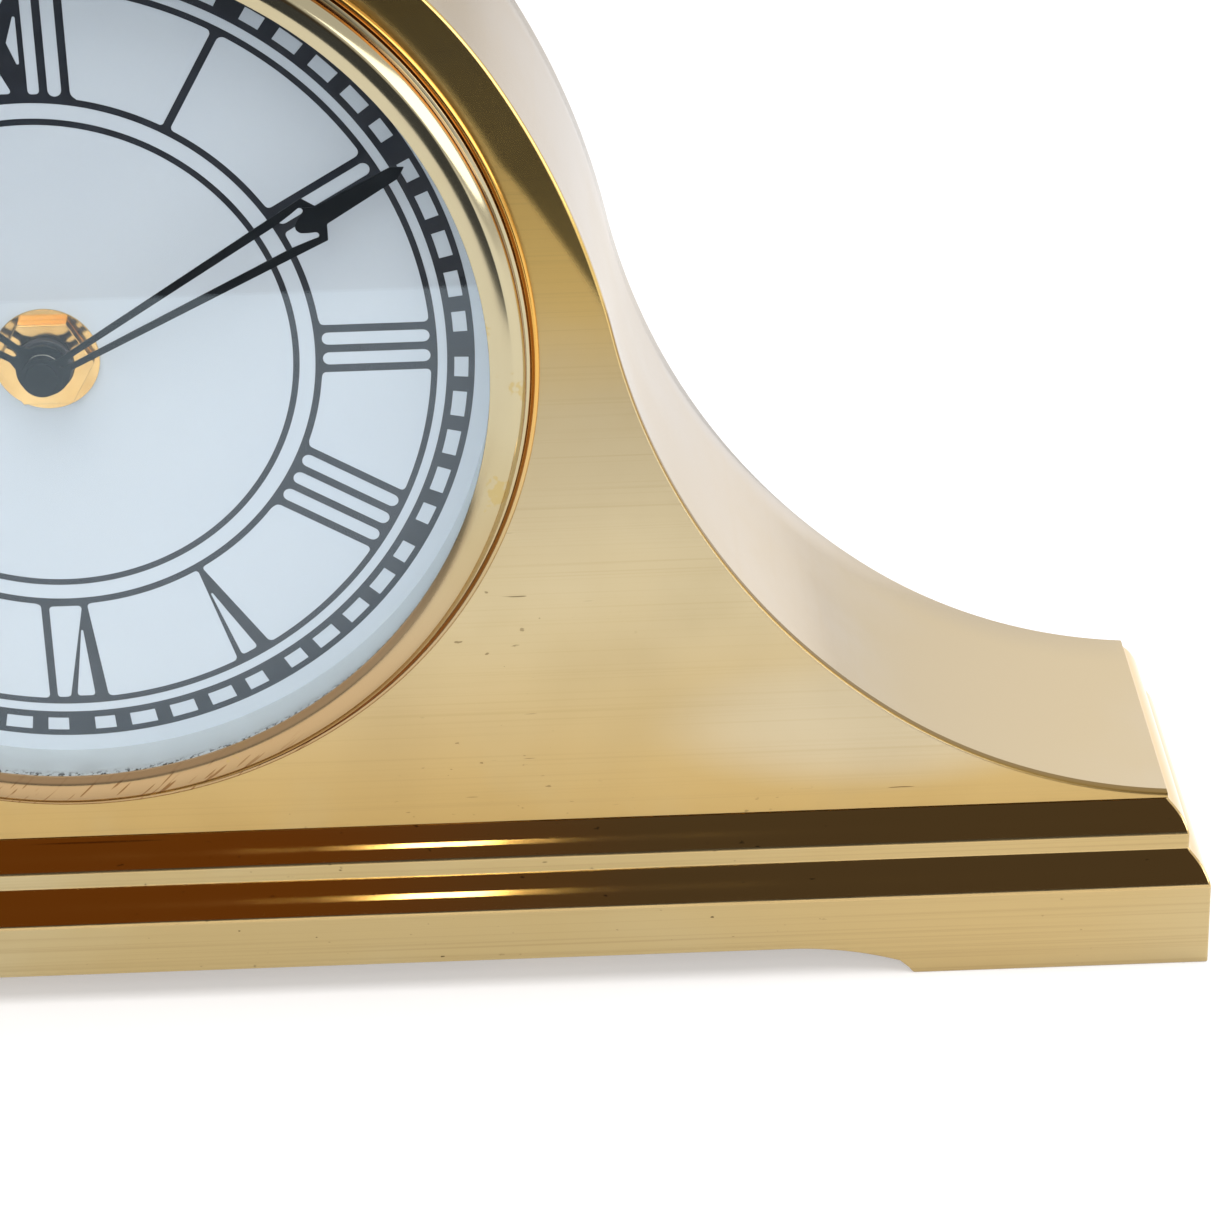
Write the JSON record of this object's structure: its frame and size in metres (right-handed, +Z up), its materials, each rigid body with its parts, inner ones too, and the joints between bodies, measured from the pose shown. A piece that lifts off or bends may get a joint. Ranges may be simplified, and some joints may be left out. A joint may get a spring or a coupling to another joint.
{
  "type": "mantel clock",
  "caption": "Brass tambour desk clock with a stepped plinth, glazed Roman dial, pierced black hands, quartz movement and hinged back door.",
  "frame": {"origin": "middle of the footprint on the resting surface, halfway between the plinth front and the back edge", "axes": "+X left to right seen from the front, the dial faces -Y, +Z up"},
  "size_m": [0.3312, 0.056, 0.1758],
  "materials": {
    "case_brass": "satin",
    "bright_brass": "polished",
    "inner_brass": "dull",
    "pin_steel": "ground",
    "screw_brass": "turned",
    "clear_glass": "clear",
    "silvered": "silvered",
    "dial_face": "satin white",
    "sheet_steel": "zinc plated",
    "hand_black": "satin black",
    "black_rubber": "matte",
    "black_plastic": "moulded",
    "ivory_plastic": "moulded",
    "copper_wire": "enamelled copper",
    "board_green": "solder mask",
    "chip_black": "epoxy",
    "contact_plate": "nickel plated",
    "cell_wrap": "printed sleeve",
    "magnet": "sintered",
    "core_steel": "annealed"
  },
  "bodies": {
    "case": {"front_plate": "case_brass", "top_band": "case_brass", "plinth": "case_brass", "bottom_panel": "inner_brass", "back_rail": "inner_brass", "back_lugs": "inner_brass", "back_panel": "case_brass", "back_screws": "screw_brass", "hinge_leaf": "bright_brass", "hinge_screws": "screw_brass", "hinge_pin": "pin_steel", "bezel": "bright_brass", "glass": "clear_glass", "wall_ring": "silvered", "dial": "dial_face", "retainer_ring": "sheet_steel", "clamps": "sheet_steel", "clamp_screws": "sheet_steel", "dial_washer": "bright_brass", "dial_nut": "bright_brass", "rubber_washer": "black_rubber", "movement_front": "black_plastic", "movement_back": "black_plastic", "stator": "core_steel", "coil_bobbin": "ivory_plastic", "coil_winding": "copper_wire", "circuit_board": "board_green", "chip": "chip_black", "crystal": "contact_plate", "contact_plus": "contact_plate", "contact_minus": "contact_plate"},
    "door": {"door_disc": "case_brass"},
    "latch": {"latch_knob": "bright_brass"},
    "cell": {"battery": "cell_wrap"},
    "minute": {"minute_arbor": "bright_brass", "minute_hand": "hand_black", "hand_nut": "hand_black"},
    "hour": {"hour_wheel": "ivory_plastic", "hour_hand": "hand_black"},
    "reverser": {"minute_wheel": "ivory_plastic"},
    "setting": {"setting_knob": "ivory_plastic"},
    "centre": {"centre_wheel": "bright_brass"},
    "third": {"third_wheel": "ivory_plastic"},
    "seconds": {"seconds_wheel": "ivory_plastic"},
    "intermediate": {"intermediate_wheel": "ivory_plastic"},
    "rotor_arbor": {"rotor": "magnet"}
  },
  "joints": [
    {"name": "door_swing", "type": "hinge", "parent": "case", "child": "door", "pos_m": [-0.0635, 0.0259, 0.1002], "axis": [0, 0, 1], "range_deg": [0, 115]},
    {"name": "latch_turn", "type": "hinge", "parent": "door", "child": "latch", "pos_m": [0.046, 0.0243, 0.1002], "axis": [0, 1, 0], "range_deg": [0, 90]},
    {"name": "cell_slide", "type": "slide", "parent": "case", "child": "cell", "axis": [0, 1, 0], "range_m": [0, 0.018]},
    {"name": "minute_turn", "type": "hinge", "parent": "case", "child": "minute", "pos_m": [0, -0.0178, 0.1002], "axis": [0, -1, 0], "continuous": true},
    {"name": "reverser_turn", "type": "hinge", "parent": "case", "child": "reverser", "pos_m": [-0.01039, -0.0178, 0.1062], "axis": [0, -1, 0], "continuous": true},
    {"name": "hour_turn", "type": "hinge", "parent": "case", "child": "hour", "pos_m": [0, -0.0178, 0.1002], "axis": [0, -1, 0], "continuous": true},
    {"name": "setting_turn", "type": "hinge", "parent": "case", "child": "setting", "pos_m": [-0.02167, -0.0178, 0.1021], "axis": [0, -1, 0], "continuous": true},
    {"name": "seconds_turn", "type": "hinge", "parent": "case", "child": "seconds", "pos_m": [0, -0.0178, 0.1002], "axis": [0, -1, 0], "continuous": true},
    {"name": "third_turn", "type": "hinge", "parent": "case", "child": "third", "pos_m": [0.0054, -0.0178, 0.10955], "axis": [0, -1, 0], "continuous": true},
    {"name": "centre_turn", "type": "hinge", "parent": "case", "child": "centre", "pos_m": [0, -0.0178, 0.1002], "axis": [0, -1, 0], "continuous": true},
    {"name": "intermediate_turn", "type": "hinge", "parent": "case", "child": "intermediate", "pos_m": [-0.0072, -0.0178, 0.1002], "axis": [0, -1, 0], "continuous": true},
    {"name": "rotor_turn", "type": "hinge", "parent": "case", "child": "rotor_arbor", "pos_m": [-0.00842, -0.0178, 0.10709], "axis": [0, -1, 0], "continuous": true}
  ],
  "couplings": [
    {"joint": "reverser_turn", "follows": "minute_turn", "ratio": -0.33333},
    {"joint": "hour_turn", "follows": "minute_turn", "ratio": 0.083333},
    {"joint": "setting_turn", "follows": "minute_turn", "ratio": 1},
    {"joint": "third_turn", "follows": "rotor_turn", "ratio": -0.0044444},
    {"joint": "centre_turn", "follows": "rotor_turn", "ratio": 0.00055556},
    {"joint": "intermediate_turn", "follows": "rotor_turn", "ratio": -0.16667},
    {"joint": "seconds_turn", "follows": "rotor_turn", "ratio": 0.033333}
  ]
}
